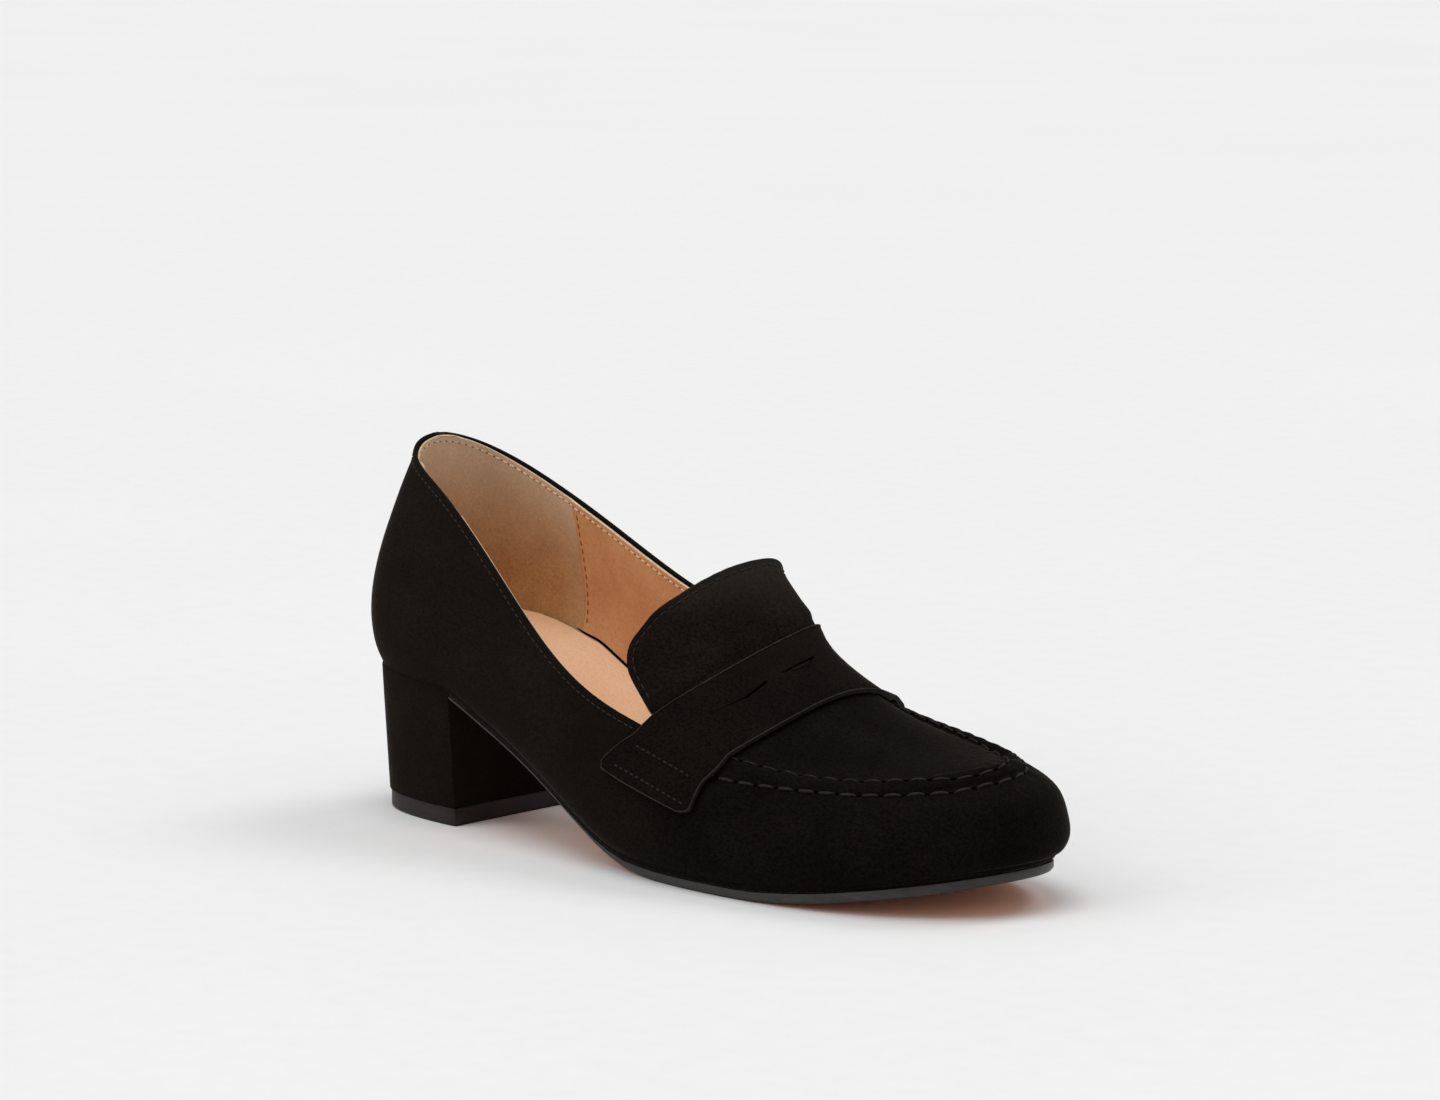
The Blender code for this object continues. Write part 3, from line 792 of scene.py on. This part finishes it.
def tuck(bm):
    """Draw the tongue's corners in under the strap, and swell its medial half to meet the strap's edge."""
    for vertex in bm.verts:
        spot = on_last(vertex.co)
        for side, place, width, top, height, move in TUCKS:
            low = share((top - spot.z) / height)
            outside = share((side * spot.y - place) / width)
            vertex.co += Vector(move) * low * outside * MM
        near = share(1 - abs(spot.z - SWELL_Z) / SWELL_HEIGHT)
        vertex.co += Vector(SWELL) * near * share(spot.y / SWELL_WIDTH) * MM
    return bm


def clear_of_strap(point):
    """Whether a point of the tongue's edge is free of the strap."""
    spot = on_last(point)
    return spot.x < TONGUE_FREE_X or spot.z > TONGUE_FREE_Z


def make_tongue(suede, leather):
    """Suede tongue with rounded edges and a shallow valley where it is stitched, and the leather that lines
    its back; returns the track of its stitches."""
    bm = tuck(skin_of("tongue", TONGUE_FRONT))
    bordered = bm.copy()
    row = [vertex.co.copy() for vertex in highest(add_border(bordered, TONGUE_STITCH_DEPTH))]
    bordered.free()
    piece = make_piece("suede_tongue", bm, suede)
    refine(piece)
    free = stretch_of(row, clear_of_strap)
    press(piece, Track(free, surface_of(piece)), TONGUE_VALLEY, VALLEY_WIDTH)
    stitches = Track(free, surface_of(piece))
    thicken(piece, TONGUE_SUEDE_THICK, BEHIND)
    round_rim(piece, SUEDE_EDGE_ROUND)
    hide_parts("tongue")
    lining = make_piece("tongue_lining", tuck(skin_of("tongue", TONGUE_BACK)), leather)
    refine(lining)
    thicken(lining, TONGUE_LINING_THICK, BEHIND)
    return stitches


def slits_of(skin):
    """Lines of vertices round the slits in a skin of the strap: all its rims but the longest."""
    return sorted(rims_of(skin), key=len)[:-1]


def make_strap(suede, edge):
    """Suede saddle strap with two penny slits and inked cut edges that carry a painted highlight; returns it
    and the track of its edge, which starts on the medial side."""
    bm = merged_copy("saddle_strap")
    skins = [skin_at(bm, sight) for sight in (STRAP_TOP, STRAP_UNDER)]
    slits = {vertex for skin in skins for line in slits_of(skin) for vertex in line}
    outline = [vertex.co.copy() for vertex in max(rims_of(skins[0]), key=len)]
    for face in bm.faces:
        if not any(face in skin for skin in skins) and slits.isdisjoint(face.verts):
            face.material_index = 1
    for face in round_edges(bm, STRAP_EDGE, lambda edge: slits.isdisjoint(edge.verts)):
        face.material_index = 1
    piece = make_piece("suede_strap", bm, suede, edge)
    piece.data.set_sharp_from_angle(angle=SMOOTH_ANGLE)
    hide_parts("saddle_strap")
    start = max(range(len(outline)), key=lambda i: outline[i].y)
    return piece, Track(outline[start:] + outline[:start + 1], surface_of(piece))


def make_penny_flap(suede):
    """Flap that hangs in the medial of the strap's two slits, deeper towards its rear edge."""
    bm = skin_of("saddle_strap", STRAP_TOP)
    medial = set(max(slits_of(set(bm.faces)), key=lambda line: line[0].co.y))
    rim = [edge for edge in bm.edges if edge.is_boundary and medial.issuperset(edge.verts)]
    flap = bmesh.ops.contextual_create(bm, geom=rim)["faces"]
    bmesh.ops.delete(bm, geom=[face for face in bm.faces if face not in flap], context="FACES")
    bm.normal_update()
    front = max(vertex.co.x for vertex in medial)
    rear = min(vertex.co.x for vertex in medial)
    shallow, deep = FLAP_DEPTH
    for vertex in medial:
        back = (front - vertex.co.x) / (front - rear)
        vertex.co -= vertex.normal * (shallow + (deep - shallow) * back) * MM
    thicken(make_piece("penny_flap", bm, suede), FLAP_THICK, BEHIND)


def make_solid(name, node, slot, edge, corner, *materials, lift=0.0):
    """Piece that keeps a solid's form, with its top rim lifted against what it carries, and its upright
    corners and then its other sharp edges rounded."""
    bm = merged_copy(node)
    for vertex in bm.verts:
        slopes = [face.normal.z for face in vertex.link_faces]
        if max(slopes) > TOP_RIM > min(slopes):
            vertex.co.z += lift * MM
    if corner:
        round_edges(bm, corner, upright)
    round_edges(bm, edge)
    piece = make_piece(name, bm, *materials)
    piece.data.set_sharp_from_angle(angle=SMOOTH_ANGLE)
    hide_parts(node)
    return piece


def settle(spot):
    """How far the sock sinks at a spot, more towards the heel."""
    start, end = SOCK_SETTLE_X
    part = share((end - on_last(spot).x) / (end - start))
    return Vector((0, 0, part * part * (3 - 2 * part) * SOCK_SETTLE * MM))


def make_underworks(suede):
    """Sock, sole, covered heel and top piece."""
    sock = make_solid("padded_sock", "insole", "sock_leather", SOCK_EDGE, 0, peach_sock())
    for vertex in sock.data.vertices:
        vertex.co -= settle(vertex.co)
    sole = make_solid("dressed_outsole", "outsole", "sole_rubber", SOLE_EDGE, 0, grey_sole_edge(), tan_sole())
    for face in sole.data.polygons:
        face.material_index = 1 if face.normal.z < UNDERSIDE else 0
    make_solid("heel_cover", "heel_block", "heel_suede", HEEL_EDGE, HEEL_CORNER, suede, lift=HEEL_LIFT)
    make_solid("top_piece", "top_lift", "lift_rubber", LIFT_EDGE, HEEL_CORNER, brown_black_lift())


def sew_upper(upper, collar_row, thread, fine_thread, hole_shade):
    """Heavy stitches of the moccasin seam with their needle holes as dark beads of painted shade, and the fine
    stitches of the collar.
    """
    shell = surface_of(upper)
    outer = track_on(shell, MOC_OUTER_ROW)
    inner = track_on(shell, MOC_INNER_ROW)
    stitch_rows("moc_thread_outer", [outer], thread)
    stitch_rows("moc_thread_inner", [inner], thread)
    stitch_rows("moc_needle_hole_shade", [outer, inner], hole_shade)
    stitch_rows("collar_thread", [Track(collar_row, shell)], fine_thread)


def sew_tabs(strap, thread):
    """Two rows of stitches on each of the strap's tabs."""
    band = surface_of(strap)
    stitch_rows("tab_thread", [track_on(band, row) for row in TAB_ROWS], thread)


def sew_lining(inside, top_row, thread, seam_thread):
    """Stitches below the lining's top edge with their needle holes as beads of painted shade in the seam
    thread's colour, and the seam on each side of the grip.
    """
    top = Track(top_row, inside)
    stitch_rows("lining_thread", [top], thread)
    # the needle holes are painted shade, drawn in the seam thread's colour
    stitch_rows("lining_needle_hole_shade", [top], seam_thread)
    seams = []
    for side in (-1, 1):
        seam = []
        for height in GRIP_SEAM_HEIGHTS:
            start = at(GRIP_SEAM_X + GRIP_SEAM_STITCH, 0, height)
            seam.append(inside.ray_cast(start, Vector((0, side, 0)))[0])
        seams.append(Track(seam, inside))
    stitch_rows("grip_seam_thread", seams, seam_thread)


def make_sock_gap_shade(inside, hole_shade):
    """Bead of painted shade on the lining, along the gap between the settled sock's medial edge and the
    lining.
    """
    bm = merged_copy("insole")
    edge = [vertex.co.copy() for vertex in max(rims_of(skin_at(bm, SOCK_TOP)), key=len)]
    bm.free()
    start, end = SOCK_GAP_X
    gap = stretch_of(edge, lambda point: on_last(point).y > 0 and start < on_last(point).x < end)
    rise = Vector((0, 0, SOCK_GAP_RISE * MM))
    row = [point - settle(point) + rise for point in gap]
    long_bead("sock_gap_painted_shade", Track(row, inside), hole_shade, SOCK_GAP_SIZES, SOCK_GAP_PARTS)


def make_edge_bead(track, ink_and_highlight):
    """Bead of ink along the whole edge of the strap, paler than the suede as a painted highlight."""
    long_bead("strap_edge_bead_painted_highlight", track, ink_and_highlight, (track.length / MM, *BEAD_SIZES), BEAD_PARTS)


# Studio


def make_floor(scene):
    """Pale floor that reaches far past the view."""
    bm = bmesh.new()
    bmesh.ops.create_grid(bm, x_segments=1, y_segments=1, size=FLOOR_REACH * MM)
    mesh = bpy.data.meshes.new("floor")
    bm.to_mesh(mesh)
    bm.free()
    mesh.materials.append(studio_floor())
    floor = bpy.data.objects.new("floor", mesh)
    scene.collection.objects.link(floor)


def make_light(scene):
    """White surround and three broad lamps."""
    scene.view_settings.view_transform = "Standard"
    scene.world = bpy.data.worlds.new("studio")
    scene.world.use_nodes = True
    background = scene.world.node_tree.nodes["Background"]
    background.inputs["Color"].default_value = colour("#ffffff")
    background.inputs["Strength"].default_value = SURROUND
    for name, strength, spread, tilt, turn in LAMPS:
        light = bpy.data.lights.new(name, "SUN")
        light.energy = strength
        light.angle = math.radians(spread)
        lamp = bpy.data.objects.new(name, light)
        lamp.rotation_euler = (math.radians(tilt), 0, math.radians(turn))
        scene.collection.objects.link(lamp)


def make_camera(scene):
    """Camera at the photograph's angle, turned a little off its target to frame the shoe as it does."""
    azimuth = math.radians(VIEW_AZIMUTH)
    elevation = math.radians(VIEW_ELEVATION)
    back = Vector((math.sin(azimuth) * math.cos(elevation), -math.cos(azimuth) * math.cos(elevation),
                   math.sin(elevation)))
    lens = bpy.data.cameras.new("camera")
    lens.lens = VIEW_LENS
    lens.sensor_width = VIEW_SENSOR
    camera = bpy.data.objects.new("camera", lens)
    camera.location = at(*VIEW_TARGET) + back * VIEW_DISTANCE * MM
    camera.rotation_euler = (math.radians(90 - VIEW_ELEVATION + VIEW_TURN_UP), 0,
                             math.radians(VIEW_AZIMUTH - VIEW_TURN_RIGHT))
    scene.collection.objects.link(camera)
    scene.camera = camera


# The shoe, from the shell inwards and down to the floor
shell_suede = upper_suede()
band_suede = strap_suede()
leather = tan_lining()
ink_and_highlight = cut_edge()
upper, collar_row = make_upper(shell_suede)
lining, lining_row = make_lining(beige_grip(), leather, cream_edge())
tongue_track = make_tongue(tongue_suede(), leather)
strap, strap_track = make_strap(band_suede, ink_and_highlight)
make_penny_flap(band_suede)
make_underworks(shell_suede)

# Its stitches and trim
thread = black_thread()
fine_thread = grey_thread()
hole_shade = needle_hole_shade()
inside = surface_of(*lining)
sew_upper(upper, collar_row, thread, fine_thread, hole_shade)
stitch_rows("tongue_thread", [tongue_track], fine_thread)
sew_tabs(strap, thread)
sew_lining(inside, lining_row, cream_thread(), rust_thread())
make_sock_gap_shade(inside, hole_shade)
make_edge_bead(strap_track, ink_and_highlight)

make_floor(bpy.context.scene)
make_light(bpy.context.scene)
make_camera(bpy.context.scene)
